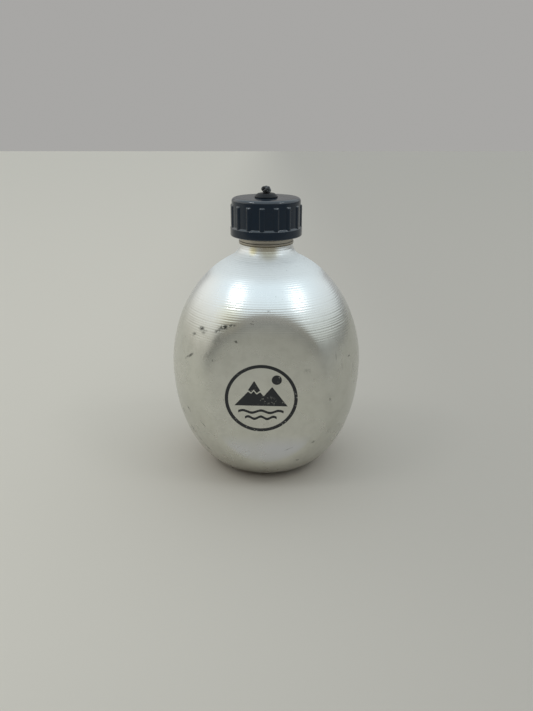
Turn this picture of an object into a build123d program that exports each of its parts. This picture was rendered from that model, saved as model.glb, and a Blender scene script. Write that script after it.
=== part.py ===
from build123d import *
import math
import os

# A one-litre metal canteen. Its screw cap stays on a cord that hangs inside the flask.
# Millimetres. +Z is up, the origin is the middle of the base, and the printed face looks along -Y.

# ---- Driving dimensions ----

# Flask: a round spun body, pressed flat at the front and at the back
BODY_RADIUS = 60.5
FLAT_DISTANCE = 48.5  # from the axis to each pressed face
FLAT_EDGE_RADIUS = 14.0
WALL = 1.0
WIDEST_Z = 68.0
SHOULDER_RISE = 74.3  # the shoulder ellipse's half height above the widest level
SHOULDER_SWEEP = 68.5  # degrees of that ellipse, up to the neck's flare
RING_INNER_RADIUS = 19.5  # the standing ring
RING_OUTER_RADIUS = 22.5
BASE_DISH = 1.8

# Neck: a metal tube with a rolled lip, and a collar that carries the thread
LEDGE_RADIUS = 16.3
LEDGE_Z = 145.6
NECK_RADIUS = 15.0
MOUTH_RADIUS = 14.0
MOUTH_Z = 166.9
LIP_RADIUS = 15.8  # inside the cap's thread, so that the cap lifts off over it
LIP_HEIGHT = 1.4
LIP_ROUND = 0.5
COLLAR_FOOT_RADIUS = 16.75
COLLAR_FOOT_HEIGHT = 1.6
COLLAR_BAND_RADIUS = 16.2
COLLAR_BAND_TOP_Z = 152.0
COLLAR_EDGE_ROUND = 0.5

# Screw thread, right-handed
THREAD_PITCH = 5.0
THREAD_TURNS = 1.6
THREAD_START_Z = 154.0
THREAD_BASE_WIDTH = 3.2
THREAD_CREST_WIDTH = 1.6
THREAD_ROOTING = 0.3  # how far a ridge reaches into the wall that carries it
COLLAR_ROOT_RADIUS = 15.8
COLLAR_CREST_RADIUS = 17.0
CAP_BORE_RADIUS = 17.4
CAP_CREST_RADIUS = 16.15

# Cap
CAP_BOTTOM_Z = 150.3
CAP_TOP_Z = 172.7
CAP_RADIUS = 20.85
FLANGE_RADIUS = 21.8
FLANGE_TOP_Z = 155.2
FLANGE_BEVEL_TOP_Z = 156.2
FLANGE_EDGE_ROUND = 0.8
CAP_TOP_ROUND = 2.0
RIB_COUNT = 16
RIB_RADIUS = 2.42
RIB_CENTRE_RADIUS = 19.08
RIB_FIRST_ANGLE = -96.5  # degrees from +X, so that one rib stands just left of the front
RIB_BALL_Z = 167.2  # centre of each rib's rounded top
SEAL_RADIUS = 17.2
SEAL_THICKNESS = 2.0
CORD_HOLE_RADIUS = 1.5

# Retaining cord, its knots and its washers
CORD_RADIUS = 1.0
TOP_WASHER_RADIUS = 7.0
TOP_WASHER_FOOT_RADIUS = 6.3
TOP_WASHER_EDGE_RISE = 0.8  # height of its widest edge above the cap
TOP_WASHER_TOP_RADIUS = 5.0
TOP_WASHER_HEIGHT = 2.4
TOP_WASHER_ROUND = 1.0
INNER_WASHER_RADIUS = 8.5
INNER_WASHER_THICKNESS = 1.2
WASHER_HOLE_RADIUS = 1.3
KNOT_RADIUS = 3.1
KNOT_HEIGHT = 4.2
KNOT_ROUND = 1.5
INNER_KNOT_HEIGHT = 3.8

# Toggle bar, which is too long to come out through the neck
TOGGLE_LENGTH = 38.0
TOGGLE_RADIUS = 4.0
TOGGLE_END_ROUND = 3.0
TOGGLE_Z = 75.0
TOGGLE_KNOT_RADIUS = 1.8
TOGGLE_PIVOT_RISE = 0.6  # the knot's centre, above the bar's axis, so that the bar hangs level
TOGGLE_POCKET_RADIUS = 2.1
TOGGLE_SLOT_WIDTH = 2.8
TOGGLE_SLOT_SHORT = 2.9
TOGGLE_SLOT_LONG = 6.2

# ---- Worked out from those ----

LIP_Z = MOUTH_Z - LIP_HEIGHT
CAP_CEILING_Z = MOUTH_Z + SEAL_THICKNESS
TOP_WASHER_TOP_Z = CAP_TOP_Z + TOP_WASHER_HEIGHT
INNER_WASHER_Z = MOUTH_Z - INNER_WASHER_THICKNESS
TOGGLE_PIVOT_Z = TOGGLE_Z + TOGGLE_PIVOT_RISE

# The cord's route, from under the top knot down to the middle of the toggle's knot
CORD_ROUTE = [
    (0.0, 0.0, TOP_WASHER_TOP_Z),
    (0.0, 0.0, 150.0),
    (1.6, 0.7, 126.0),
    (0.0, 0.0, 98.0),
    (0.0, 0.0, TOGGLE_PIVOT_Z),
]

STAND_ON = (Align.CENTER, Align.CENTER, Align.MIN)
HANG_FROM = (Align.CENTER, Align.CENTER, Align.MAX)


# ---- Flask ----


def ellipse_arc(centre, half_width, half_height, start, sweep):
    """The four control points of the Bezier curve that follows an arc of an ellipse. Angles in degrees."""
    reach = 4 / 3 * math.tan(math.radians(sweep) / 4)
    points = []
    for angle, along in ((start, reach), (start + sweep, -reach)):
        cosine = math.cos(math.radians(angle))
        sine = math.sin(math.radians(angle))
        end = (centre[0] + half_width * cosine, centre[1] + half_height * sine)
        handle = (end[0] - along * half_width * sine, end[1] + along * half_height * cosine)
        points += [end, handle] if angle == start else [handle, end]
    return points


def pressed_form(inset, throat):
    """A solid of the flask's outline moved in by inset, with both faces pressed flat and their edges eased.

    throat is the outline from the end of the neck's flare up to the axis.
    """
    side = BODY_RADIUS - inset
    with BuildPart() as form:
        with BuildSketch(Plane.XZ):
            with BuildLine():
                dish = TangentArc((0, BASE_DISH + inset), (RING_INNER_RADIUS, inset), tangent=(1, 0))
                Line(dish @ 1, (RING_OUTER_RADIUS, inset))
                Bezier(
                    *ellipse_arc(
                        (RING_OUTER_RADIUS, WIDEST_Z), side - RING_OUTER_RADIUS, WIDEST_Z - inset, 270, 90
                    )
                )
                shoulder = Bezier(
                    *ellipse_arc((0, WIDEST_Z), side, SHOULDER_RISE - inset, 0, SHOULDER_SWEEP)
                )
                TangentArc(shoulder @ 1, throat[0], tangent=shoulder % 1)
                Polyline(*throat, dish @ 0)
            make_face()
        revolve(axis=Axis.Z)
        with Locations((0, 0, WIDEST_Z)):
            Box(4 * side, 2 * (FLAT_DISTANCE - inset), 4 * WIDEST_Z, mode=Mode.INTERSECT)
        flats = form.faces().filter_by(GeomType.PLANE).filter_by(Axis.Y)
        fillet(flats.edges(), radius=FLAT_EDGE_RADIUS - inset)
    return form.part


outer_form = pressed_form(
    0,
    [
        (LEDGE_RADIUS, LEDGE_Z),
        (NECK_RADIUS, LEDGE_Z),
        (NECK_RADIUS, LIP_Z),
        (LIP_RADIUS, LIP_Z),
        (LIP_RADIUS, MOUTH_Z),
        (0, MOUTH_Z),
    ],
)
cavity_form = pressed_form(
    WALL,
    [
        (MOUTH_RADIUS, LEDGE_Z),
        (MOUTH_RADIUS, MOUTH_Z),
        (0, MOUTH_Z),
    ],
)

with BuildPart() as flask_shell:
    add(outer_form)
    fillet(flask_shell.edges().filter_by(GeomType.CIRCLE).group_by(Axis.Z)[-1], radius=LIP_ROUND)
    add(cavity_form, mode=Mode.SUBTRACT)


# ---- Threads ----


def thread_ridge(root_radius, crest_radius):
    """One right-hand ridge, a trapezoid in section, rooted a little way into the wall that carries it."""
    outward = 1 if crest_radius > root_radius else -1
    with BuildPart() as ridge:
        with BuildLine() as middle_line:
            Helix(THREAD_PITCH, THREAD_PITCH * THREAD_TURNS, root_radius, center=(0, 0, THREAD_START_Z))
        start = middle_line.line @ 0
        with BuildSketch(Plane(origin=start, x_dir=(1, 0, 0), z_dir=middle_line.line % 0)):
            with BuildLine():
                Polyline(
                    (-outward * THREAD_ROOTING, -THREAD_BASE_WIDTH / 2),
                    (0, -THREAD_BASE_WIDTH / 2),
                    (crest_radius - root_radius, -THREAD_CREST_WIDTH / 2),
                    (crest_radius - root_radius, THREAD_CREST_WIDTH / 2),
                    (0, THREAD_BASE_WIDTH / 2),
                    (-outward * THREAD_ROOTING, THREAD_BASE_WIDTH / 2),
                    close=True,
                )
            make_face()
        sweep(path=middle_line.line, is_frenet=True)
    return ridge.part


collar_thread = thread_ridge(COLLAR_ROOT_RADIUS, COLLAR_CREST_RADIUS)
cap_thread = thread_ridge(CAP_BORE_RADIUS, CAP_CREST_RADIUS)

with BuildPart() as neck_collar:
    with Locations((0, 0, LEDGE_Z)):
        Cylinder(COLLAR_ROOT_RADIUS, LIP_Z - LEDGE_Z, align=STAND_ON)
        Cylinder(COLLAR_BAND_RADIUS, COLLAR_BAND_TOP_Z - LEDGE_Z, align=STAND_ON)
        Cylinder(COLLAR_FOOT_RADIUS, COLLAR_FOOT_HEIGHT, align=STAND_ON)
    foot_edges = neck_collar.edges().filter_by(GeomType.CIRCLE).group_by(SortBy.RADIUS)[-1]
    fillet(foot_edges, radius=COLLAR_EDGE_ROUND)
    add(collar_thread)
    with Locations((0, 0, LEDGE_Z)):
        Cylinder(NECK_RADIUS, LIP_Z - LEDGE_Z, align=STAND_ON, mode=Mode.SUBTRACT)


# ---- Cap ----

with BuildPart() as cap_shell:
    with BuildSketch(Plane.XZ):
        with BuildLine():
            Polyline(
                (0, CAP_BOTTOM_Z),
                (FLANGE_RADIUS, CAP_BOTTOM_Z),
                (FLANGE_RADIUS, FLANGE_TOP_Z),
                (CAP_RADIUS, FLANGE_BEVEL_TOP_Z),
                (CAP_RADIUS, CAP_TOP_Z),
                (0, CAP_TOP_Z),
                close=True,
            )
        make_face()
    revolve(axis=Axis.Z)
    rims = cap_shell.edges().filter_by(GeomType.CIRCLE).group_by(Axis.Z)
    fillet(rims[0], radius=FLANGE_EDGE_ROUND)
    fillet(rims[-1], radius=CAP_TOP_ROUND)
    with Locations((0, 0, FLANGE_TOP_Z)):
        with PolarLocations(RIB_CENTRE_RADIUS, RIB_COUNT, start_angle=RIB_FIRST_ANGLE):
            Cylinder(RIB_RADIUS, RIB_BALL_Z - FLANGE_TOP_Z, align=STAND_ON)
    with Locations((0, 0, RIB_BALL_Z)):
        with PolarLocations(RIB_CENTRE_RADIUS, RIB_COUNT, start_angle=RIB_FIRST_ANGLE):
            Sphere(RIB_RADIUS)
    with Locations((0, 0, CAP_BOTTOM_Z)):
        Cylinder(CAP_BORE_RADIUS, CAP_CEILING_Z - CAP_BOTTOM_Z, align=STAND_ON, mode=Mode.SUBTRACT)
    with Locations((0, 0, CAP_TOP_Z)):
        Hole(CORD_HOLE_RADIUS)
    # Half a turn round from the collar's ridge, the cap's ridge lies midway between its turns.
    add(cap_thread, rotation=(0, 0, 180))

with BuildPart() as cap_seal:
    with Locations((0, 0, MOUTH_Z)):
        Cylinder(SEAL_RADIUS, SEAL_THICKNESS, align=STAND_ON)
        Cylinder(CORD_HOLE_RADIUS, SEAL_THICKNESS, align=STAND_ON, mode=Mode.SUBTRACT)


# ---- Retaining cord ----


def bend_radii(route):
    """Each corner's arc radius: as large as its two runs allow."""
    radii = []
    for before, corner, after in zip(route, route[1:], route[2:]):
        run_in = Vector(corner) - Vector(before)
        run_out = Vector(after) - Vector(corner)
        half_turn = math.radians(run_in.get_angle(run_out)) / 2
        radii.append(0.45 * min(run_in.length, run_out.length) / math.tan(half_turn))
    return radii


cord_radii = bend_radii(CORD_ROUTE)

with BuildPart() as tether_cord:
    with BuildLine() as cord_path:
        FilletPolyline(*CORD_ROUTE, radius=cord_radii)
    with BuildSketch(Plane(origin=CORD_ROUTE[0], z_dir=cord_path.line % 0)):
        Circle(CORD_RADIUS)
    sweep(path=cord_path.line)

with BuildPart() as top_washer:
    with Locations((0, 0, CAP_TOP_Z)):
        Cone(TOP_WASHER_FOOT_RADIUS, TOP_WASHER_RADIUS, TOP_WASHER_EDGE_RISE, align=STAND_ON)
    with Locations((0, 0, CAP_TOP_Z + TOP_WASHER_EDGE_RISE)):
        Cone(TOP_WASHER_RADIUS, TOP_WASHER_TOP_RADIUS, TOP_WASHER_HEIGHT - TOP_WASHER_EDGE_RISE, align=STAND_ON)
    fillet(top_washer.faces().sort_by(Axis.Z)[-1].edges(), radius=TOP_WASHER_ROUND)
    with Locations((0, 0, TOP_WASHER_TOP_Z)):
        Hole(WASHER_HOLE_RADIUS)

with BuildPart() as top_knot:
    with Locations((0, 0, TOP_WASHER_TOP_Z)):
        Cylinder(KNOT_RADIUS, KNOT_HEIGHT, align=STAND_ON)
    fillet(top_knot.edges().filter_by(GeomType.CIRCLE), radius=KNOT_ROUND)

with BuildPart() as inner_washer:
    with Locations((0, 0, INNER_WASHER_Z)):
        Cylinder(INNER_WASHER_RADIUS, INNER_WASHER_THICKNESS, align=STAND_ON)
        Cylinder(WASHER_HOLE_RADIUS, INNER_WASHER_THICKNESS, align=STAND_ON, mode=Mode.SUBTRACT)

with BuildPart() as inner_knot:
    with Locations((0, 0, INNER_WASHER_Z)):
        Cylinder(KNOT_RADIUS, INNER_KNOT_HEIGHT, align=HANG_FROM)
    fillet(inner_knot.edges().filter_by(GeomType.CIRCLE), radius=KNOT_ROUND)
    add(tether_cord.part, mode=Mode.SUBTRACT)

with BuildPart() as toggle_knot:
    with Locations((0, 0, TOGGLE_PIVOT_Z)):
        Sphere(TOGGLE_KNOT_RADIUS)
    add(tether_cord.part, mode=Mode.SUBTRACT)


# ---- Toggle ----

with BuildPart() as toggle_bar:
    with Locations((0, 0, TOGGLE_Z)):
        Cylinder(TOGGLE_RADIUS, TOGGLE_LENGTH, rotation=(0, 90, 0))
    fillet(toggle_bar.edges().filter_by(GeomType.CIRCLE), radius=TOGGLE_END_ROUND)
    with Locations((0, 0, TOGGLE_PIVOT_Z)):
        Sphere(TOGGLE_POCKET_RADIUS, mode=Mode.SUBTRACT)
        Cylinder(TOGGLE_POCKET_RADIUS, 2 * TOGGLE_RADIUS, align=HANG_FROM, mode=Mode.SUBTRACT)
    with BuildSketch(Plane.XZ):
        with BuildLine():
            # The slot widens upwards, so that the bar can tilt about its knot without bending the cord.
            Polyline(
                (-TOGGLE_SLOT_SHORT / 2, TOGGLE_PIVOT_Z),
                (TOGGLE_SLOT_SHORT / 2, TOGGLE_PIVOT_Z),
                (TOGGLE_SLOT_LONG / 2, TOGGLE_Z + TOGGLE_RADIUS),
                (-TOGGLE_SLOT_LONG / 2, TOGGLE_Z + TOGGLE_RADIUS),
                close=True,
            )
        make_face()
    extrude(amount=TOGGLE_SLOT_WIDTH / 2, both=True, mode=Mode.SUBTRACT)


# ---- Files ----

PIECES = {
    "flask_shell": flask_shell,
    "neck_collar": neck_collar,
    "cap_shell": cap_shell,
    "cap_seal": cap_seal,
    "top_washer": top_washer,
    "top_knot": top_knot,
    "tether_cord": tether_cord,
    "inner_washer": inner_washer,
    "inner_knot": inner_knot,
    "toggle_knot": toggle_knot,
    "toggle_bar": toggle_bar,
}

os.makedirs("parts", exist_ok=True)
for name, piece in PIECES.items():
    piece.part.label = name
    export_step(piece.part, f"parts/{name}.step")

cord_length = sum(edge.length for edge in cord_path.edges())
print("cord bend radii, mm:", [round(radius, 1) for radius in cord_radii])
print("cord length, mm:", round(cord_length, 2))
print("cord volume, mm3:", round(tether_cord.part.volume, 2))
print("cord section times length, mm3:", round(math.pi * CORD_RADIUS**2 * cord_length, 2))
print("flask capacity to the mouth, ml:", round(cavity_form.volume / 1000))
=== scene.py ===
import math
import random

import bmesh
import bpy
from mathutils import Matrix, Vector, noise
from mathutils.bvhtree import BVHTree


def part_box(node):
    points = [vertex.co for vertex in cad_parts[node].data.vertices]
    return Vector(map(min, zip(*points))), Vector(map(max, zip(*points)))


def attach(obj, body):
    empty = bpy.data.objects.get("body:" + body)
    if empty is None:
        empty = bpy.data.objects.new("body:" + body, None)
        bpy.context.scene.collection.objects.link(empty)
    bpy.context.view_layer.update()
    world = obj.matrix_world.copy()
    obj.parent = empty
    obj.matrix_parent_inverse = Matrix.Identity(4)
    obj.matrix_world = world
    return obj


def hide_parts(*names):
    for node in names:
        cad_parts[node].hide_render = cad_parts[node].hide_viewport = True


# A screw-top metal canteen: the looks of each piece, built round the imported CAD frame.
# Metres, +Z up, the printed face towards -Y.

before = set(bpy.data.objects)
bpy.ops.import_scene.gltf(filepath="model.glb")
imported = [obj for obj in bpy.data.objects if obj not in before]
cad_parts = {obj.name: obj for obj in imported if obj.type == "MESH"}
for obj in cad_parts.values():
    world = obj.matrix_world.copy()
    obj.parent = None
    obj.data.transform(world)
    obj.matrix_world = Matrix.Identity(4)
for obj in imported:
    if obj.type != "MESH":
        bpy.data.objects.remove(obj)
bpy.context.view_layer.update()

MM = 0.001
TURN = 2 * math.pi

# ---- Sizes taken from the frame ----

_, shell_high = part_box("flask_shell")
collar_low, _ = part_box("neck_collar")
cap_low, cap_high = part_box("cap_shell")
washer_low, washer_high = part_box("top_washer")

BODY_RADIUS = shell_high.x
FLAT_DISTANCE = shell_high.y
MOUTH_Z = shell_high.z
LEDGE_Z = collar_low.z
CAP_BOTTOM_Z = cap_low.z
CAP_TOP_Z = washer_low.z
FLANGE_RADIUS = cap_high.x
WASHER_RADIUS = washer_high.x
WASHER_TOP_Z = washer_high.z

# ---- Sizes of the flask ----

WALL = 1.0 * MM
WIDEST_Z = 68.0 * MM
SHOULDER_RISE = 74.3 * MM
SHOULDER_SWEEP = math.radians(68.5)
RING_INNER_RADIUS = 19.5 * MM
RING_OUTER_RADIUS = 22.5 * MM
BASE_DISH = 1.8 * MM
LEDGE_RADIUS = 16.3 * MM
NECK_RADIUS = 15.0 * MM
MOUTH_RADIUS = 14.0 * MM
LIP_RADIUS = 15.8 * MM
LIP_Z = MOUTH_Z - 1.4 * MM
FLASK_COLUMNS = 192
DISH_STEPS = 8
OUTSIDE_STEPS = (60, 16, 250, 42)  # along the side, the plain shoulder, its grooves and the neck's flare
INSIDE_STEPS = (24, 8, 16, 6)
FLAT_EDGE_SOFTNESS = (1.6 * MM, 2.4 * MM)  # low down and high up on the flask
FLAT_EDGE_HEIGHTS = (30 * MM, 90 * MM)  # where the softness has those two values
DENT_DEPTH = 0.22 * MM
DENT_SCALE = 45  # about this many dents and bulges to the metre
DENTS_START_Z = 3 * MM
GROOVE_PITCH = 1.45 * MM
GROOVE_DEPTH = 0.070 * MM
GROOVE_WIDTH = 0.22  # as a share of the pitch
GROOVE_COUNT = 80
GROOVES_START_Z = 92 * MM
GROOVES_FULL_Z = 104 * MM

# ---- Sizes of the neck, cap and washer ----

FOOT_RADIUS = 16.75 * MM
FOOT_TOP_Z = LEDGE_Z + 1.6 * MM
BAND_RADIUS = 16.2 * MM
BAND_TOP_Z = 152.0 * MM
BAND_LINE_RISES = (1.15 * MM, 2.15 * MM)  # two fine lines round the band, above the collar's foot
BAND_LINE_DEPTH = 0.07 * MM
BAND_LINE_HALF_WIDTH = 0.15 * MM
COLLAR_COLUMNS = 160
THREAD_ROOT_RADIUS = 15.8 * MM
THREAD_CREST_RADIUS = 17.0 * MM
THREAD_PITCH = 5.0 * MM
THREAD_TURNS = 1.6
THREAD_START_Z = 154.0 * MM
THREAD_BASE_WIDTH = 3.2 * MM
THREAD_CREST_WIDTH = 1.6 * MM
THREAD_BURIED = 0.25 * MM  # how far the ridge's base reaches into its wall
THREAD_END_RISE = 8  # share of its full height that the ridge gains per turn at its ends
THREAD_STEPS = 150

CAP_RADIUS = 20.85 * MM
CAP_WALL_RADIUS = CAP_RADIUS - 0.05 * MM  # points at least this far out belong to the ribbed wall
CAP_WALL_STEP = 0.3 * MM
CAP_PLAIN_STEP = 4 * MM
CAP_BORE_RADIUS = 17.4 * MM
CAP_CREST_RADIUS = 16.15 * MM
CAP_CEILING_Z = MOUTH_Z + 2.0 * MM
CORD_HOLE_RADIUS = 1.5 * MM
FLANGE_TOP_Z = 155.2 * MM
FLANGE_BEVEL_TOP_Z = 156.2 * MM
RIB_COUNT = 16
RIB_COLUMNS = 24
RIB_HEIGHT = 0.8 * MM
RIB_HALF_WIDTH = 1.7 * MM
RIB_TOP_Z = 168.8 * MM
RIB_END = 1.0 * MM
RIB_FIRST_ANGLE = math.radians(-96.5)

WASHER_HOLE_RADIUS = 1.3 * MM
WASHER_FOOT_RADIUS = 6.9 * MM
WASHER_EDGE_Z = CAP_TOP_Z + 0.5 * MM
WASHER_TOP_RADIUS = 5.0 * MM
WASHER_COLUMNS = 96

# ---- Sizes of the cord ----

CORD_RADIUS = 1.0 * MM
BRAID_PITCH = 5.0 * MM
BRAID_STRANDS = 4  # each way round
BRAID_RELIEF = 0.09  # as a share of the cord's radius
CORD_COLUMNS = 24
CORD_STEPS = 130
KNOT_STEPS = 150

# The cord's route, from under the top knot down to the middle of the toggle's knot
CORD_ROUTE = [
    (0.0, 0.0, 0.1751),
    (0.0, 0.0, 0.1500),
    (0.0016, 0.0007, 0.1260),
    (0.0, 0.0, 0.0980),
    (0.0, 0.0, 0.0756),
]

# ---- Printed badge ----

BADGE_CENTRE = (-2.9 * MM, 62.5 * MM)
BADGE_TILT = math.radians(-1.5)
BADGE_LIFT = 0.03 * MM
BADGE_RADIUS = 21.5 * MM
BADGE_RING_WIDTH = 2.0 * MM

# ---- Camera ----

CAMERA_PLACE = (0.0002, -0.3825, 0.2179)
CAMERA_PITCH = math.radians(20.97)
CAMERA_LENS = 31.61


def make_camera():
    camera = bpy.data.objects.new("camera", bpy.data.cameras.new("camera"))
    camera.data.lens = CAMERA_LENS
    camera.data.sensor_width = 36
    camera.location = CAMERA_PLACE
    camera.rotation_euler = (math.pi / 2 - CAMERA_PITCH, 0, 0)
    bpy.context.scene.collection.objects.link(camera)
    bpy.context.scene.camera = camera


# ---- Material helpers ----


def new_material(name):
    """A material with its node tree and its Principled shader."""
    material = bpy.data.materials.new(name)
    material.use_nodes = True
    return material, material.node_tree, material.node_tree.nodes["Principled BSDF"]


def node(tree, kind, inputs=None, **settings):
    """Adds a shader node. An input is a value, or another node's output socket to link."""
    made = tree.nodes.new("ShaderNode" + kind)
    for key, value in settings.items():
        setattr(made, key, value)
    for key, value in (inputs or {}).items():
        if isinstance(value, bpy.types.NodeSocket):
            tree.links.new(value, made.inputs[key])
        else:
            made.inputs[key].default_value = value
    return made


def object_place(tree):
    return node(tree, "TexCoord").outputs["Object"]


def noise_field(tree, place, scale, detail=3.0, roughness=0.55, distortion=0.0):
    """Noise over object coordinates in metres. The scale is one number, or one for each axis."""
    if not isinstance(scale, tuple):
        scale = (scale, scale, scale)
    stretched = node(tree, "Mapping", {"Vector": place, "Scale": scale}).outputs["Vector"]
    inputs = {
        "Vector": stretched,
        "Scale": 1.0,
        "Detail": detail,
        "Roughness": roughness,
        "Distortion": distortion,
    }
    return node(tree, "TexNoise", inputs).outputs["Fac"]


def combine(tree, operation, first, second):
    made = node(tree, "Math", {0: first, 1: second}, operation=operation)
    return made.outputs["Value"]


def product(tree, *factors):
    result = factors[0]
    for factor in factors[1:]:
        result = combine(tree, "MULTIPLY", result, factor)
    return result


def between(tree, value, low, high, to_low=0.0, to_high=1.0):
    """Takes value from low..high to to_low..to_high, smoothly and clamped."""
    inputs = {"Value": value, "From Min": low, "From Max": high, "To Min": to_low, "To Max": to_high}
    return node(tree, "MapRange", inputs, interpolation_type="SMOOTHSTEP").outputs["Result"]


def mixed(tree, share, first, second):
    """A colour between two, each one a triple or an output socket."""
    made = node(tree, "Mix", {"Factor": share}, data_type="RGBA")
    for socket, value in ((made.inputs[6], first), (made.inputs[7], second)):
        if isinstance(value, bpy.types.NodeSocket):
            tree.links.new(value, socket)
        else:
            socket.default_value = (*value, 1.0)
    return made.outputs[2]


def bumped(tree, height, strength, distance, normal=None):
    inputs = {"Height": height, "Strength": strength, "Distance": distance}
    if normal is not None:
        inputs["Normal"] = normal
    return node(tree, "Bump", inputs).outputs["Normal"]


# ---- Materials ----

# Marks on the flask's front half, in mm: x, z, half width, half height, lean in degrees, darkness
SCUFFS = [
    (-37.6, 102.7, 2.6, 1.4, 20, 0.9),
    (-42.5, 98.3, 2.4, 1.0, 30, 0.7),
    (-24.0, 105.9, 4.4, 2.0, 15, 1.0),
    (-19.5, 107.2, 3.6, 1.3, 10, 0.8),
    (-27.5, 103.6, 3.4, 1.5, 35, 0.8),
    (-17.2, 98.0, 1.7, 1.2, 0, 0.8),
    (-30.4, 86.4, 1.8, 1.4, 0, 0.7),
    (-44.5, 86.2, 3.4, 0.9, 45, 0.8),
    (-47.3, 83.9, 2.6, 0.8, 50, 0.6),
    (-47.7, 49.3, 3.6, 0.8, -50, 0.7),
    (-38.5, 43.2, 3.2, 0.7, -45, 0.6),
    (-36.6, 21.9, 4.2, 0.8, -35, 0.7),
    (-29.4, 15.7, 3.4, 0.7, -25, 0.5),
    (49.7, 83.3, 1.2, 0.9, 0, 0.7),
    (53.0, 75.0, 0.6, 4.0, 8, 0.35),
    (19.3, 19.3, 1.5, 1.1, 0, 0.7),
    (28.7, 32.9, 2.2, 1.2, 30, 0.45),
    (13.8, 29.0, 4.0, 0.5, 25, 0.4),
    (1.5, 115.5, 1.5, 0.4, 0, 0.6),
    (-8.0, 108.5, 1.8, 0.5, -20, 0.6),
    (-36.2, 101.4, 3.4, 2.0, 10, 0.5),
    (-28.0, 98.5, 6.0, 3.0, 50, 0.35),
    (-33.5, 89.0, 5.0, 2.6, 50, 0.30),
    (24.0, 80.0, 3.0, 2.4, 0, 0.25),
    (38.0, 61.0, 0.9, 2.2, 10, 0.40),
    (41.0, 86.0, 0.5, 5.0, 6, 0.30),
    (45.0, 80.0, 0.4, 4.0, 4, 0.30),
    (-52.0, 44.0, 0.8, 4.0, 15, 0.50),
    (-46.0, 33.0, 4.4, 0.8, -50, 0.60),
    (-41.5, 27.5, 3.0, 0.6, -45, 0.50),
]

# Round patches on the flask: centre, outer and inner reach in mm, strength, colour. Some are painted light,
# as marked below.
PATCHES_AND_PAINTED_REFLECTIONS = [
    ((-21, -44, 112), 13, 0, 0.5, (0.86, 0.80, 0.58)),
    # Painted reflection: a brown crescent on the neck's flare, in place of the collar's reflection.
    ((1.5, -17.5, 144.5), 9, 3, 0.6, (0.42, 0.36, 0.20)),
    # Painted highlight: a small gold glint on the neck's flare.
    ((-8.4, -16.0, 143.9), 4.5, 1, 0.75, (1.0, 0.89, 0.50)),
]


def scuff_mask(tree, place, axes):
    """Dark ragged marks at the places in SCUFFS."""
    front = between(tree, axes.outputs["Y"], 0.0, -5 * MM)
    ragged = between(tree, noise_field(tree, place, 600, detail=4, roughness=0.65), 0.38, 0.55)
    mask = None
    for x, z, half_width, half_height, lean, darkness in SCUFFS:
        offset = node(
            tree,
            "Mapping",
            {
                "Vector": place,
                "Location": (x * MM, 0, z * MM),
                "Rotation": (0, -math.radians(lean), 0),
                "Scale": (half_width * MM, 1e6, half_height * MM),
            },
            vector_type="TEXTURE",
        )
        distance = node(tree, "VectorMath", {0: offset.outputs["Vector"]}, operation="LENGTH")
        spot = between(tree, distance.outputs["Value"], 1.0, 0.25, 0, darkness)
        mask = spot if mask is None else combine(tree, "MAXIMUM", mask, spot)
    return product(tree, mask, ragged, front)


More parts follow.
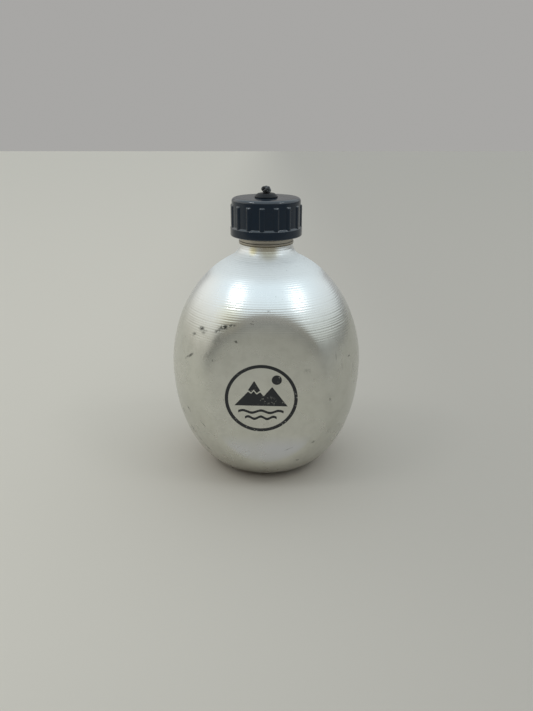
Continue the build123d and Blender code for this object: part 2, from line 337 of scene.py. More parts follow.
def flask_metal():
    """Bare spun aluminium: painted highlight brightens the shoulder, painted reflections lie on the front
    face and the neck's flare, it is frosted under the neck, scuffed lower down, and painted shade darkens it
    towards the foot.
    """
    material, tree, shader = new_material("flask_metal")
    place = object_place(tree)
    axes = node(tree, "SeparateXYZ", {"Vector": place})
    height = axes.outputs["Z"]
    clouds = noise_field(tree, place, 26, detail=5, roughness=0.6)
    mottle = noise_field(tree, place, 160, detail=4, roughness=0.65)

    colour = mixed(tree, clouds, (0.60, 0.60, 0.54), (0.74, 0.74, 0.69))
    colour = mixed(tree, between(tree, mottle, 0.35, 0.75, 0, 0.35), colour, (0.50, 0.50, 0.45))
    # Painted highlight: the shoulder's metal is made brighter and cooler from 98 mm up.
    painted_shoulder_highlight = between(tree, height, 98 * MM, 124 * MM)
    colour = mixed(tree, painted_shoulder_highlight, colour, (0.86, 0.88, 0.88))
    # Painted shade: the metal darkens towards the bottom and is nearly black in the last few millimetres.
    painted_shade_below = between(tree, height, 22 * MM, 6 * MM, 0, 0.35)
    colour = mixed(tree, painted_shade_below, colour, (0.40, 0.38, 0.33))
    painted_shade_at_base = between(tree, height, 5 * MM, 1 * MM, 0, 0.9)
    colour = mixed(tree, painted_shade_at_base, colour, (0.09, 0.08, 0.06))
    # Mixes in the round patches, which include painted reflection and a painted highlight on the neck's
    # flare.
    for centre, outer, inner, strength, tone in PATCHES_AND_PAINTED_REFLECTIONS:
        middle = tuple(value * MM for value in centre)
        distance = node(tree, "VectorMath", {0: place, 1: middle}, operation="DISTANCE").outputs["Value"]
        colour = mixed(tree, between(tree, distance, outer * MM, inner * MM, 0, strength), colour, tone)

    # Painted reflection: a cool, light patch on the lower part of the front flat face.
    on_flat = between(tree, axes.outputs["Y"], 0.9 * MM - FLAT_DISTANCE, 0.2 * MM - FLAT_DISTANCE)
    low_down = between(tree, height, 40 * MM, 28 * MM)
    painted_cool_reflection = product(tree, on_flat, low_down, between(tree, clouds, 0.3, 0.6, 0.5, 1))
    colour = mixed(tree, painted_cool_reflection, colour, (0.69, 0.70, 0.73))

    specks = between(tree, noise_field(tree, place, 460, detail=4, roughness=0.6), 0.68, 0.74)
    patches = between(tree, noise_field(tree, place, 40, detail=1), 0.48, 0.62)
    scuffs = scuff_mask(tree, place, axes)
    dark = combine(tree, "MAXIMUM", scuffs, product(tree, specks, patches, 0.6))
    colour = mixed(tree, dark, colour, (0.07, 0.07, 0.06))
    tree.links.new(colour, shader.inputs["Base Color"])

    above_shoulder = between(tree, height, 126 * MM, 133 * MM)
    frosted = product(tree, above_shoulder, between(tree, height, 143 * MM, 139 * MM))
    tree.links.new(combine(tree, "SUBTRACT", 1.0, product(tree, frosted, 0.75)), shader.inputs["Metallic"])
    rough = combine(tree, "ADD", between(tree, clouds, 0.3, 0.7, 0.21, 0.33), product(tree, dark, 0.3))
    rough = combine(tree, "ADD", rough, product(tree, frosted, 0.25))
    tree.links.new(rough, shader.inputs["Roughness"])

    spin_lines = noise_field(tree, place, (8, 8, 1100), detail=3, roughness=0.7)
    scratches = noise_field(tree, place, (900, 900, 60), detail=2, distortion=0.8)
    grain = noise_field(tree, place, 1400, detail=3, roughness=0.7)
    spun = product(tree, spin_lines, between(tree, height, 88 * MM, 118 * MM, 0.25, 1.0))
    normal = bumped(tree, spun, 0.30, 0.05 * MM)
    normal = bumped(tree, between(tree, scratches, 0.64, 0.72), 0.07, 0.05 * MM, normal)
    normal = bumped(tree, grain, 0.08, 0.05 * MM, normal)
    normal = bumped(tree, mottle, 0.10, 0.2 * MM, normal)
    normal = bumped(tree, dark, -0.2, 0.06 * MM, normal)
    tree.links.new(normal, shader.inputs["Normal"])
    return material


def collar_metal():
    """Tarnished metal, with painted shade that makes it darkest at the collar's foot."""
    material, tree, shader = new_material("collar_metal")
    place = object_place(tree)
    height = node(tree, "SeparateXYZ", {"Vector": place}).outputs["Z"]
    tone = noise_field(tree, place, (130, 130, 300), detail=4)
    lines = noise_field(tree, place, (20, 20, 2600), detail=2)
    colour = mixed(tree, tone, (0.32, 0.29, 0.24), (0.54, 0.51, 0.44))
    # Painted shade: the collar's foot goes nearly black where it sits on the flask.
    foot = between(tree, height, LEDGE_Z + 0.9 * MM, LEDGE_Z + 0.4 * MM, 0, 0.85)
    colour = mixed(tree, foot, colour, (0.13, 0.105, 0.06))
    tree.links.new(colour, shader.inputs["Base Color"])
    tree.links.new(between(tree, tone, 0.2, 0.8, 0.26, 0.42), shader.inputs["Roughness"])
    shader.inputs["Metallic"].default_value = 1.0
    tree.links.new(bumped(tree, lines, 0.2, 0.05 * MM), shader.inputs["Normal"])
    return material


def moulded_plastic(name, dark, dust, dust_share, roughness, gloss):
    """Moulded plastic with a fine texture and dust in patches, thickest on faces that look up.

    gloss is the specular level of rounded edges. Upright walls have less, and level tops the least.
    """
    material, tree, shader = new_material(name)
    place = object_place(tree)
    patches = noise_field(tree, place, (110, 110, 60), detail=5, roughness=0.65)
    flecks = noise_field(tree, place, 1100, detail=3, roughness=0.7)
    streaks = noise_field(tree, place, (900, 900, 60), detail=3)
    upward = node(tree, "SeparateXYZ", {"Vector": node(tree, "NewGeometry").outputs["Normal"]}).outputs["Z"]
    lying = between(tree, upward, 0.9, 1.0, 0.25, 1.0)
    dusty = product(tree, between(tree, patches, 0.36, 0.70, 0.1, dust_share), lying)
    dusty = product(tree, dusty, between(tree, flecks, 0.35, 0.70, 0.4, 1.0))
    tree.links.new(mixed(tree, dusty, dark, dust), shader.inputs["Base Color"])
    edge_gloss = between(tree, upward, 0.1, 0.35, 0.42, gloss)
    sheen = combine(tree, "MINIMUM", edge_gloss, between(tree, upward, 0.97, 1.0, 1.0, 0.1))
    tree.links.new(sheen, shader.inputs["Specular IOR Level"])
    rough = combine(tree, "ADD", roughness, product(tree, dusty, 0.25))
    tree.links.new(rough, shader.inputs["Roughness"])
    normal = bumped(tree, flecks, 0.06, 0.04 * MM)
    normal = bumped(tree, streaks, 0.06, 0.05 * MM, normal)
    tree.links.new(normal, shader.inputs["Normal"])
    return material


def seal_rubber():
    material, tree, shader = new_material("seal_rubber")
    place = object_place(tree)
    clouds = noise_field(tree, place, 160, detail=4)
    grain = noise_field(tree, place, 1500, detail=2)
    tree.links.new(mixed(tree, clouds, (0.60, 0.57, 0.50), (0.74, 0.72, 0.66)), shader.inputs["Base Color"])
    tree.links.new(between(tree, clouds, 0.2, 0.8, 0.55, 0.75), shader.inputs["Roughness"])
    tree.links.new(bumped(tree, grain, 0.15, 0.05 * MM), shader.inputs["Normal"])
    return material


def cord_fabric():
    material, tree, shader = new_material("cord_fabric")
    place = object_place(tree)
    fibres = noise_field(tree, place, 2600, detail=3, roughness=0.7)
    flecks = between(tree, noise_field(tree, place, 900, detail=2), 0.54, 0.68)
    colour = mixed(tree, flecks, (0.014, 0.015, 0.018), (0.24, 0.25, 0.27))
    tree.links.new(colour, shader.inputs["Base Color"])
    tree.links.new(between(tree, fibres, 0.2, 0.8, 0.40, 0.70), shader.inputs["Roughness"])
    shader.inputs["Sheen Weight"].default_value = 0.3
    tree.links.new(bumped(tree, fibres, 0.5, 0.1 * MM), shader.inputs["Normal"])
    return material


def print_ink():
    """Black ink with small worn chips, through which the metal shows."""
    material, tree, shader = new_material("print_ink")
    place = object_place(tree)
    chips = noise_field(tree, place, 900, detail=4, roughness=0.7)
    areas = noise_field(tree, place, 90, detail=2)
    worn = product(tree, between(tree, chips, 0.60, 0.65), between(tree, areas, 0.44, 0.58))
    tree.links.new(mixed(tree, worn, (0.012, 0.014, 0.017), (0.55, 0.55, 0.50)), shader.inputs["Base Color"])
    tree.links.new(between(tree, chips, 0.3, 0.7, 0.32, 0.5), shader.inputs["Roughness"])
    tree.links.new(worn, shader.inputs["Metallic"])
    return material


# ---- Mesh helpers ----


def new_object(name, points, faces, body, slot, material):
    """A smooth-shaded mesh piece that rides on a CAD body."""
    mesh = bpy.data.meshes.new(name)
    mesh.from_pydata(points, [], faces)
    build = bmesh.new()
    build.from_mesh(mesh)
    bmesh.ops.recalc_face_normals(build, faces=build.faces)
    build.to_mesh(mesh)
    build.free()
    mesh.shade_smooth()
    mesh.materials.append(material)
    piece = bpy.data.objects.new(name, mesh)
    bpy.context.scene.collection.objects.link(piece)
    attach(piece, body)
    return piece


def skinned(rows, joined=False):
    """Points and faces of a surface through rings of equal size.

    The last ring joins the first one, or a fan of faces closes each end.
    """
    columns = len(rows[0])
    points = [tuple(point) for row in rows for point in row]
    faces = []
    for low in range(len(rows) if joined else len(rows) - 1):
        high = (low + 1) % len(rows)
        for j in range(columns):
            k = (j + 1) % columns
            faces.append((low * columns + j, low * columns + k, high * columns + k, high * columns + j))
    if not joined:
        for row, step in ((0, -1), (len(rows) - 1, 1)):
            centre = sum((Vector(point) for point in rows[row]), Vector()) / columns
            points.append(tuple(centre))
            for j in range(columns):
                k = (j + 1) % columns
                faces.append((row * columns + j, row * columns + k, len(points) - 1)[::step])
    return points, faces


def turned_rows(outline, columns, moved=None):
    """Rings of an outline of (radius, height) points about the Z axis.

    moved(radius, height, angle), where it is given, gives each point's radius.
    """
    rows = []
    for radius, height in outline:
        row = []
        for j in range(columns):
            angle = TURN * j / columns
            r = moved(radius, height, angle) if moved else radius
            row.append((r * math.cos(angle), r * math.sin(angle), height))
        rows.append(row)
    return rows


def arc_points(centre, half_width, half_height, start, end, count):
    """Points along an arc of an ellipse, both ends included. Angles in radians."""
    points = []
    for i in range(count + 1):
        angle = start + (end - start) * i / count
        points.append((centre[0] + half_width * math.cos(angle), centre[1] + half_height * math.sin(angle)))
    return points


def joined_outline(*stretches):
    """One outline from several, without the points that two of them share."""
    outline = []
    for stretch in stretches:
        for point in stretch:
            if not outline or math.dist(point, outline[-1]) > 1e-6:
                outline.append(tuple(point))
    return outline


def subdivided(outline, step):
    """The same outline with points no farther apart than step."""
    result = [outline[0]]
    for start, end in zip(outline, outline[1:]):
        count = max(1, math.ceil(math.dist(start, end) / step))
        for i in range(1, count + 1):
            share = i / count
            result.append((start[0] + (end[0] - start[0]) * share, start[1] + (end[1] - start[1]) * share))
    return result


def rounded_outline(corners, radii, steps):
    """An outline through corners. Each inner one is rounded by its radius."""
    outline = [corners[0]]
    for i in range(1, len(corners) - 1):
        corner = Vector(corners[i])
        before = (Vector(corners[i - 1]) - corner).normalized()
        after = (Vector(corners[i + 1]) - corner).normalized()
        radius = radii[i - 1]
        half = before.angle(after) / 2
        reach = radius / math.tan(half)
        centre = corner + (before + after).normalized() * radius / math.sin(half)
        start = corner + before * reach
        end = corner + after * reach
        for step in range(steps + 1):
            spoke = start.lerp(end, step / steps) - centre
            outline.append(tuple(centre + spoke.normalized() * radius) if radius > 0 else tuple(corner))
    outline.append(corners[-1])
    return joined_outline(outline)


def flare(start, heading, end, count):
    """Points of the circular arc that leaves start along heading and reaches end."""
    chord = Vector(end) - Vector(start)
    side = Vector((-heading.y, heading.x))
    reach = chord.length_squared / (2 * chord.dot(side))
    centre = Vector(start) + side * reach
    first = Vector(start) - centre
    last = Vector(end) - centre
    turn = first.angle_signed(last)
    radius = abs(reach)
    angle = math.atan2(first.y, first.x)
    return arc_points(centre, radius, radius, angle, angle - turn, count)


# ---- Flask ----


def pressed(y, height, limit, radius):
    """Where a point y from the axis goes when both faces are pressed flat, with a soft edge."""
    sharp, soft = FLAT_EDGE_SOFTNESS
    low, high = FLAT_EDGE_HEIGHTS
    share = min(1.0, max(0.0, (height - low) / (high - low)))
    softness = sharp + (soft - sharp) * share
    target = limit + softness**2 / (4 * (radius - limit))
    distance = abs(y)
    flat = (distance + target - math.hypot(distance - target, softness)) / 2
    flat -= (target - math.hypot(target, softness)) / 2 * (1 - distance / radius)
    return math.copysign(min(flat, limit), y)


def flask_outline(inset, throat_radius, side_steps, shoulder_steps, groove_steps, flare_steps):
    """The flask's outline from the middle of its base to the neck, moved in by inset."""
    side = BODY_RADIUS - inset
    rise = SHOULDER_RISE - inset
    groove_angle = math.asin((GROOVES_START_Z - WIDEST_Z) / rise)
    ring = (RING_OUTER_RADIUS, WIDEST_Z)
    dish = []
    for i in range(1, DISH_STEPS + 1):
        share = i / DISH_STEPS
        dish.append((RING_INNER_RADIUS * share, inset + BASE_DISH * (1 - share**2)))
    lower = arc_points(ring, side - ring[0], WIDEST_Z - inset, -TURN / 4, 0, side_steps)
    shoulder = arc_points((0, WIDEST_Z), side, rise, 0, groove_angle, shoulder_steps)
    grooves = arc_points((0, WIDEST_Z), side, rise, groove_angle, SHOULDER_SWEEP, groove_steps)
    heading = Vector((-side * math.sin(SHOULDER_SWEEP), rise * math.cos(SHOULDER_SWEEP))).normalized()
    neck = flare(grooves[-1], heading, (throat_radius, LEDGE_Z), flare_steps)
    return joined_outline(dish, lower, shoulder, grooves, neck)


def grooved(outline):
    """Turning grooves round the shoulder and the neck's flare, fading out above the pressed faces."""
    draw = random.Random(7)
    depths = [draw.uniform(0.45, 1.35) * GROOVE_DEPTH for _ in range(GROOVE_COUNT)]
    shifts = [draw.uniform(-0.12, 0.12) for _ in range(GROOVE_COUNT)]
    moved = []
    travelled = 0.0
    for i, (radius, height) in enumerate(outline):
        before = Vector(outline[max(i - 1, 0)])
        after = Vector(outline[min(i + 1, len(outline) - 1)])
        along = (after - before).normalized()
        travelled += (Vector(outline[i]) - before).length
        turns = travelled / GROOVE_PITCH
        index = int(turns) % GROOVE_COUNT
        phase = turns % 1 - 0.5 - shifts[index]
        fade = min(1.0, max(0.0, (height - GROOVES_START_Z) / (GROOVES_FULL_Z - GROOVES_START_Z)))
        depth = depths[index] * fade * math.exp(-((phase / GROOVE_WIDTH) ** 2))
        moved.append((radius - along.y * depth, height + along.x * depth))
    return moved


def flask_rows():
    """Rings of the flask, outside and then inside, each one pressed flat at the front and back."""
    outside = grooved(flask_outline(0, LEDGE_RADIUS, *OUTSIDE_STEPS))
    corners = [
        outside[-1],
        (NECK_RADIUS, LEDGE_Z),
        (NECK_RADIUS, LIP_Z),
        (LIP_RADIUS, LIP_Z),
        (LIP_RADIUS, MOUTH_Z),
        (MOUTH_RADIUS, MOUTH_Z),
        (MOUTH_RADIUS, LEDGE_Z),
    ]
    neck = rounded_outline(corners, [0, 0, 0.3 * MM, 0.5 * MM, 0.4 * MM], steps=4)
    inside = flask_outline(WALL, MOUTH_RADIUS, *INSIDE_STEPS)[::-1]
    rows = []
    for i, (radius, height) in enumerate(joined_outline(outside, neck, inside)):
        inset = 0 if i < len(outside) else WALL
        row = []
        for j in range(FLASK_COLUMNS):
            angle = TURN * (j + 0.5) / FLASK_COLUMNS
            x = radius * math.cos(angle)
            y = pressed(radius * math.sin(angle), height, FLAT_DISTANCE - inset, BODY_RADIUS - inset)
            wave = noise.noise(Vector((x, y, height)) * DENT_SCALE)
            dented = inset == 0 and height > DENTS_START_Z
            push = 1 - DENT_DEPTH / BODY_RADIUS * (1 + wave) if dented else 1
            row.append((x * push, y * push, height))
        rows.append(row)
    return rows


# ---- Cap ----


def rib_radius(radius, height, angle):
    """The cap's outside radius, with its half-round ribs and their rounded tops."""
    if height > RIB_TOP_Z or height < FLANGE_TOP_Z or radius < CAP_WALL_RADIUS:
        return radius
    spacing = TURN / RIB_COUNT
    offset = (angle - RIB_FIRST_ANGLE + spacing / 2) % spacing - spacing / 2
    across = abs(CAP_RADIUS * offset) / RIB_HALF_WIDTH
    if across >= 1:
        return radius
    bulge = RIB_HEIGHT * (1 - across**2) ** 0.6
    up = max(0.0, (height - RIB_TOP_Z) / RIB_END + 1)
    return max(radius, CAP_RADIUS + bulge * math.sqrt(max(0.0, 1 - up**2)))


def cap_rows():
    corners = [
        (CORD_HOLE_RADIUS, CAP_TOP_Z),
        (CAP_RADIUS, CAP_TOP_Z),
        (CAP_RADIUS, FLANGE_BEVEL_TOP_Z),
        (FLANGE_RADIUS, FLANGE_TOP_Z),
        (FLANGE_RADIUS, CAP_BOTTOM_Z),
        (CAP_BORE_RADIUS, CAP_BOTTOM_Z),
        (CAP_BORE_RADIUS, CAP_CEILING_Z),
        (CORD_HOLE_RADIUS, CAP_CEILING_Z),
        (CORD_HOLE_RADIUS, CAP_TOP_Z),
    ]
    radii = [2.0 * MM, 0.4 * MM, 0.35 * MM, 0.8 * MM, 0.4 * MM, 0.3 * MM, 0.2 * MM]
    outline = rounded_outline(corners, radii, steps=7)
    fine = []
    for start, end in zip(outline, outline[1:]):
        wall = min(start[0], end[0]) > CAP_WALL_RADIUS and start[1] > FLANGE_TOP_Z
        fine = joined_outline(fine, subdivided([start, end], CAP_WALL_STEP if wall else CAP_PLAIN_STEP))
    return turned_rows(fine[:-1], RIB_COUNT * RIB_COLUMNS, rib_radius)


# ---- Threads, collar and washer ----


def thread_rows(root, crest, first_angle):
    """One right-hand thread ridge that runs out at both ends."""
    rows = []
    for i in range(THREAD_STEPS + 1):
        turned = THREAD_TURNS * i / THREAD_STEPS
        angle = first_angle + TURN * turned
        height = THREAD_START_Z + THREAD_PITCH * turned
        run_out = min(1.0, 0.05 + THREAD_END_RISE * min(turned, THREAD_TURNS - turned))
        top = root + (crest - root) * run_out
        buried = root - math.copysign(THREAD_BURIED, crest - root)
        half_base = THREAD_BASE_WIDTH / 2
        half_crest = THREAD_CREST_WIDTH / 2
        section = [
            (buried, -half_base),
            (root, -half_base),
            (top, -half_crest),
            (top, half_crest),
            (root, half_base),
            (buried, half_base),
        ]
        rows.append([(r * math.cos(angle), r * math.sin(angle), height + up) for r, up in section])
    return rows


def collar_rows():
    lines = []
    for rise in BAND_LINE_RISES:
        lines.append((BAND_RADIUS, FOOT_TOP_Z + rise - BAND_LINE_HALF_WIDTH))
        lines.append((BAND_RADIUS - BAND_LINE_DEPTH, FOOT_TOP_Z + rise))
        lines.append((BAND_RADIUS, FOOT_TOP_Z + rise + BAND_LINE_HALF_WIDTH))
    corners = [
        (NECK_RADIUS, LEDGE_Z),
        (FOOT_RADIUS, LEDGE_Z),
        (FOOT_RADIUS, FOOT_TOP_Z),
        (BAND_RADIUS, FOOT_TOP_Z + 0.2 * MM),
        *lines,
        (BAND_RADIUS, BAND_TOP_Z),
        (THREAD_ROOT_RADIUS, BAND_TOP_Z + 0.3 * MM),
        (THREAD_ROOT_RADIUS, LIP_Z),
        (NECK_RADIUS, LIP_Z),
        (NECK_RADIUS, LEDGE_Z),
    ]
    radii = [0.3 * MM, 0.45 * MM, 0.1 * MM, *[0] * len(lines), 0.2 * MM, 0, 0.2 * MM, 0]
    return turned_rows(rounded_outline(corners, radii, steps=5)[:-1], COLLAR_COLUMNS)


def washer_rows():
    corners = [
        (WASHER_HOLE_RADIUS, CAP_TOP_Z),
        (WASHER_FOOT_RADIUS, CAP_TOP_Z),
        (WASHER_RADIUS, WASHER_EDGE_Z),
        (WASHER_TOP_RADIUS, WASHER_TOP_Z),
        (WASHER_HOLE_RADIUS, WASHER_TOP_Z),
        (WASHER_HOLE_RADIUS, CAP_TOP_Z),
    ]
    radii = [0.2 * MM, 0.45 * MM, 1.0 * MM, 0.2 * MM]
    return turned_rows(rounded_outline(corners, radii, steps=6)[:-1], WASHER_COLUMNS)


# ---- Cord and knots ----


def braided_rows(points, radius, closed=False):
    """Rings of a braided cord along points. The ring's frame turns as little as it can."""
    rows = []
    count = len(points)
    side = None
    travelled = 0.0
    for i, point in enumerate(points):
        before = points[i - 1] if i or closed else point
        after = points[(i + 1) % count] if i + 1 < count or closed else point
        along = (after - before).normalized()
        if side is None:
            side = along.orthogonal()
        side = (side - along * side.dot(along)).normalized()
        other = along.cross(side)
        travelled += (point - before).length
        row = []
        for j in range(CORD_COLUMNS):
            angle = TURN * j / CORD_COLUMNS
            wind = TURN * travelled / BRAID_PITCH
            rising = math.cos(BRAID_STRANDS * (angle + wind / 2))
            falling = math.cos(BRAID_STRANDS * (angle - wind / 2))
            reach = radius * (1 - BRAID_RELIEF * (1 - max(rising, falling)))
            row.append(point + side * reach * math.cos(angle) + other * reach * math.sin(angle))
        rows.append(row)
    return rows


def cord_line(route, count):
    """Points along the smooth NURBS line that has the route's points as its control points."""
    curve = bpy.data.curves.new("cord_line", "CURVE")
    curve.dimensions = "3D"
    curve.resolution_u = count
    spline = curve.splines.new("NURBS")
    spline.points.add(len(route) - 1)
    for point, place in zip(spline.points, route):
        point.co = (*place, 1)
    spline.order_u = 3
    spline.use_endpoint_u = True
    holder = bpy.data.objects.new("cord_line", curve)
    mesh = bpy.data.meshes.new_from_object(holder)
    points = [vertex.co.copy() for vertex in mesh.vertices]
    bpy.data.meshes.remove(mesh)
    bpy.data.objects.remove(holder)
    bpy.data.curves.remove(curve)
    return points


def knot_points(low, high, turned):
    """A closed overhand knot that fills a CAD knot's box with cord of the cord's own thickness."""
    centre = (low + high) / 2
    half = (high - low) / 2
    spread = (half.x - CORD_RADIUS) / 3
    lift = half.z - CORD_RADIUS
    points = []
    for i in range(KNOT_STEPS):
        t = TURN * i / KNOT_STEPS
        reach = (2 + math.cos(3 * t)) * spread
        x = reach * math.cos(2 * t + turned)
        y = reach * math.sin(2 * t + turned)
        points.append(centre + Vector((x, y, lift * math.sin(3 * t))))
    return points


def make_knot(name, source, body, material, turned=0.0):
    low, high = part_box(source)
    rows = braided_rows(knot_points(low, high, turned), CORD_RADIUS, closed=True)
    points, faces = skinned(rows, joined=True)
    knot = new_object(name, points, faces, body, "cord_fabric", material)
    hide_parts(source)
    return knot


def make_cord(material, toggle_knot):
    line = cord_line(CORD_ROUTE, CORD_STEPS)
    points, faces = skinned(braided_rows(line, CORD_RADIUS))
    cord = new_object("cord", points, faces, "tether", "cord_fabric", material)
    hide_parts("tether_cord")


# ---- Printed badge ----


def strip(outer, inner, count, closed=False, steps=2):
    """Points and faces between two lines. Each line gives a point for a share from 0 to 1."""
    points = []
    for i in range(count + (0 if closed else 1)):
        share = i / count
        start = Vector(outer(share))
        end = Vector(inner(share))
        points += [tuple(start.lerp(end, k / steps)) for k in range(steps + 1)]
    faces = []
    columns = steps + 1
    for i in range(count):
        row = i * columns
        after = (i + 1) % count * columns if closed else row + columns
        faces += [(row + k, row + k + 1, after + k + 1, after + k) for k in range(steps)]
    return points, faces


def circle_line(centre, radius):
    return lambda share: (
        centre[0] + radius * math.cos(TURN * share),
        centre[1] + radius * math.sin(TURN * share),
    )


def broken_line(corners):
    """A line through corners, which share crosses evenly in x."""
    first, last = corners[0][0], corners[-1][0]

    def place(share):
        x = first + (last - first) * share
        for (x0, y0), (x1, y1) in zip(corners, corners[1:]):
            if x <= x1 + 1e-9:
                return (x, y0 + (y1 - y0) * (x - x0) / (x1 - x0))
        return corners[-1]

    return place


def wave_line(half_length, level, height):
    return lambda share: (
        half_length * (2 * share - 1),
        level + height * math.sin(TURN * 2.5 * share),
    )


def badge_strips():
    """The badge's shapes in mm about its centre: a ring, two peaks, a sun and two waves."""
    outer = BADGE_RADIUS / MM
    inner = (BADGE_RADIUS - BADGE_RING_WIDTH) / MM
    snow = [(-7.9, 5.4), (-6.0, 4.0), (-4.6, 5.9), (-2.8, 3.6), (-0.7, 5.2)]
    cap = [(-7.9, 5.4), (-4.4, 11.4), (-0.7, 5.2)]
    body = [(-15.8, -4.6)] + [(x, y - 1.0) for x, y in snow] + [(1.4, 1.6), (6.2, 7.8), (15.8, -4.6)]
    base = [(-15.8, -4.6), (15.8, -4.6)]
    return [
        strip(circle_line((0, 0), outer), circle_line((0, 0), inner), 120, closed=True),
        strip(broken_line(body), broken_line(base), 60, steps=8),
        strip(broken_line(cap), broken_line(snow), 30, steps=4),
        strip(circle_line((8.8, 12.2), 3.0), circle_line((8.8, 12.2), 0.0), 32, closed=True, steps=3),
        strip(wave_line(13.5, -7.6, 0.75), wave_line(13.5, -9.2, 0.75), 60),
        strip(wave_line(9.5, -11.6, 0.75), wave_line(9.5, -13.2, 0.75), 50),
    ]


def make_badge(flask_points, flask_faces, material):
    """Lays the badge's shapes on the flask's front face."""
    surface = BVHTree.FromPolygons(flask_points, flask_faces)
    cosine = math.cos(BADGE_TILT)
    sine = math.sin(BADGE_TILT)
    points = []
    faces = []
    for shape_points, shape_faces in badge_strips():
        start = len(points)
        for u, v in shape_points:
            x = BADGE_CENTRE[0] + (u * cosine - v * sine) * MM
            z = BADGE_CENTRE[1] + (u * sine + v * cosine) * MM
            spot = surface.ray_cast(Vector((x, -1, z)), Vector((0, 1, 0)))[0]
            points.append((x, spot.y - BADGE_LIFT, z))
        faces += [tuple(start + index for index in face) for face in shape_faces]
    new_object("badge_print", points, faces, "flask", "print_ink", material)


# ---- Build the pieces ----

scene = bpy.context.scene
scene.view_settings.view_transform = "Standard"
make_camera()

flask_points, flask_faces = skinned(flask_rows())
flask = new_object("flask", flask_points, flask_faces, "flask", "flask_metal", flask_metal())
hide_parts("flask_shell")
make_badge(flask_points, flask_faces, print_ink())

tarnished = collar_metal()
collar = new_object("collar", *skinned(collar_rows(), joined=True), "flask", "collar_metal", tarnished)
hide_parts("neck_collar")
new_object(
    "collar_thread",
    *skinned(thread_rows(THREAD_ROOT_RADIUS, THREAD_CREST_RADIUS, 0)),
    "flask",
    "collar_metal",
    tarnished,
)

black = moulded_plastic(
    "cap_plastic",
    dark=(0.003, 0.013, 0.028),
    dust=(0.058, 0.054, 0.046),
    dust_share=0.6,
    roughness=0.10,
    gloss=1.0,
)
cap = new_object("cap", *skinned(cap_rows(), joined=True), "cap", "cap_plastic", black)
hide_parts("cap_shell")
new_object(
    "cap_thread",
    *skinned(thread_rows(CAP_BORE_RADIUS, CAP_CREST_RADIUS, math.pi)),
    "cap",
    "cap_plastic",
    black,
)

grey = moulded_plastic(
    "washer_plastic",
    dark=(0.008, 0.009, 0.012),
    dust=(0.050, 0.046, 0.043),
    dust_share=0.6,
    roughness=0.40,
    gloss=0.25,
)
washer = new_object("washer", *skinned(washer_rows(), joined=True), "tether", "washer_plastic", grey)
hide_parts("top_washer")

fabric = cord_fabric()
make_knot("knot_on_cap", "top_knot", "tether", fabric, 0.6)
make_knot("knot_in_cap", "inner_knot", "tether", fabric)
make_cord(fabric, make_knot("knot_in_toggle", "toggle_knot", "tether", fabric))

pale = moulded_plastic(
    "toggle_plastic",
    dark=(0.05, 0.05, 0.052),
    dust=(0.12, 0.11, 0.10),
    dust_share=0.5,
    roughness=0.35,
    gloss=0.42,
)
for name, material in (("cap_seal", seal_rubber()), ("inner_washer", grey), ("toggle_bar", pale)):
    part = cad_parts[name]
    part.data.materials.clear()
    part.data.materials.append(material)


# ---- Stage ----

FLOOR_REACH = 4
# Painted light and shade on the floor: lighter to the left, darker to the right and far in front.
FLOOR_LEFT = (0.66, 0.60, 0.525)
FLOOR_RIGHT = (0.50, 0.455, 0.405)
FLOOR_FAR_AHEAD = (0.31, 0.285, 0.26)

CEILING = (0.80, 0.91, 0.965)
LEFT_WALL = (0.88, 0.88, 0.84)
RIGHT_WALL = (0.74, 0.79, 0.80)
LOW_LEFT = (0.60, 0.585, 0.535)
LOW_RIGHT = (0.24, 0.245, 0.24)
DIM_FRONT = (0.31, 0.305, 0.28)
DIM_BACK = (0.39, 0.385, 0.375)

SOFT_BOX_SIZE = (0.50, 0.16)
SOFT_BOX_AIM = (0, 0, 0.1)


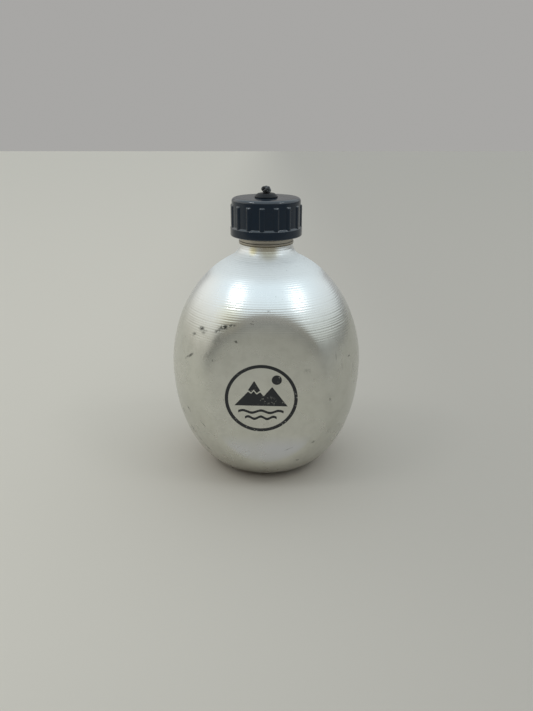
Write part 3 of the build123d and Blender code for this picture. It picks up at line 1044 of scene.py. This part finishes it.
def make_floor():
    """A pale floor with painted light and shade: lighter on the left, darker on the right, and darker far in
    front.
    """
    mesh = bpy.data.meshes.new("floor")
    corners = [(x * FLOOR_REACH, y * FLOOR_REACH, 0) for x, y in ((-1, -1), (1, -1), (1, 1), (-1, 1))]
    mesh.from_pydata(corners, [], [(0, 1, 2, 3)])
    floor = bpy.data.objects.new("floor", mesh)
    bpy.context.scene.collection.objects.link(floor)
    material, tree, shader = new_material("floor")
    axes = node(tree, "SeparateXYZ", {"Vector": object_place(tree)})
    along = axes.outputs["Y"]
    across = axes.outputs["X"]
    # Painted light fall-off from left to right, then painted shade far in front.
    colour = mixed(tree, between(tree, across, -0.2, 0.2), FLOOR_LEFT, FLOOR_RIGHT)
    colour = mixed(tree, between(tree, along, -0.16, -0.60), colour, FLOOR_FAR_AHEAD)
    tree.links.new(colour, shader.inputs["Base Color"])
    shader.inputs["Roughness"].default_value = 0.9
    mesh.materials.append(material)


def soft_box(name, place, power, colour):
    lamp = bpy.data.lights.new(name, "AREA")
    lamp.shape = "RECTANGLE"
    lamp.size, lamp.size_y = SOFT_BOX_SIZE
    lamp.energy = power
    lamp.color = colour
    made = bpy.data.objects.new(name, lamp)
    made.location = place
    made.rotation_euler = (Vector(SOFT_BOX_AIM) - Vector(place)).to_track_quat("-Z", "Y").to_euler()
    bpy.context.scene.collection.objects.link(made)


def make_world():
    """A bright cool ceiling over light walls. It is dim in front, low on the right and low behind."""
    world = bpy.data.worlds.new("world")
    bpy.context.scene.world = world
    world.use_nodes = True
    tree = world.node_tree
    axes = node(tree, "SeparateXYZ", {"Vector": node(tree, "TexCoord").outputs["Generated"]})
    up = axes.outputs["Z"]
    along = axes.outputs["Y"]
    across = axes.outputs["X"]
    wall = mixed(tree, between(tree, across, -0.5, 0.5), LEFT_WALL, RIGHT_WALL)
    low = mixed(tree, between(tree, across, -0.5, 0.5), LOW_LEFT, LOW_RIGHT)
    colour = mixed(tree, between(tree, up, 0.04, 0.28), low, wall)
    colour = mixed(tree, between(tree, up, 0.34, 0.85), colour, CEILING)
    facing = combine(tree, "ADD", along, product(tree, across, 0.2))
    front = product(tree, between(tree, facing, -0.36, -0.75), between(tree, up, 0.64, 0.52))
    colour = mixed(tree, front, colour, DIM_FRONT)
    back = product(tree, between(tree, along, 0.70, 0.90), between(tree, up, 0.50, 0.30))
    colour = mixed(tree, back, colour, DIM_BACK)
    tree.links.new(colour, tree.nodes["Background"].inputs["Color"])


make_floor()
make_world()
soft_box("left_box", (-1.04, -0.40, 1.62), power=1.9, colour=(0.96, 0.99, 1.0))
soft_box("right_box", (1.175, -0.52, 1.62), power=1.8, colour=(0.94, 0.98, 1.0))
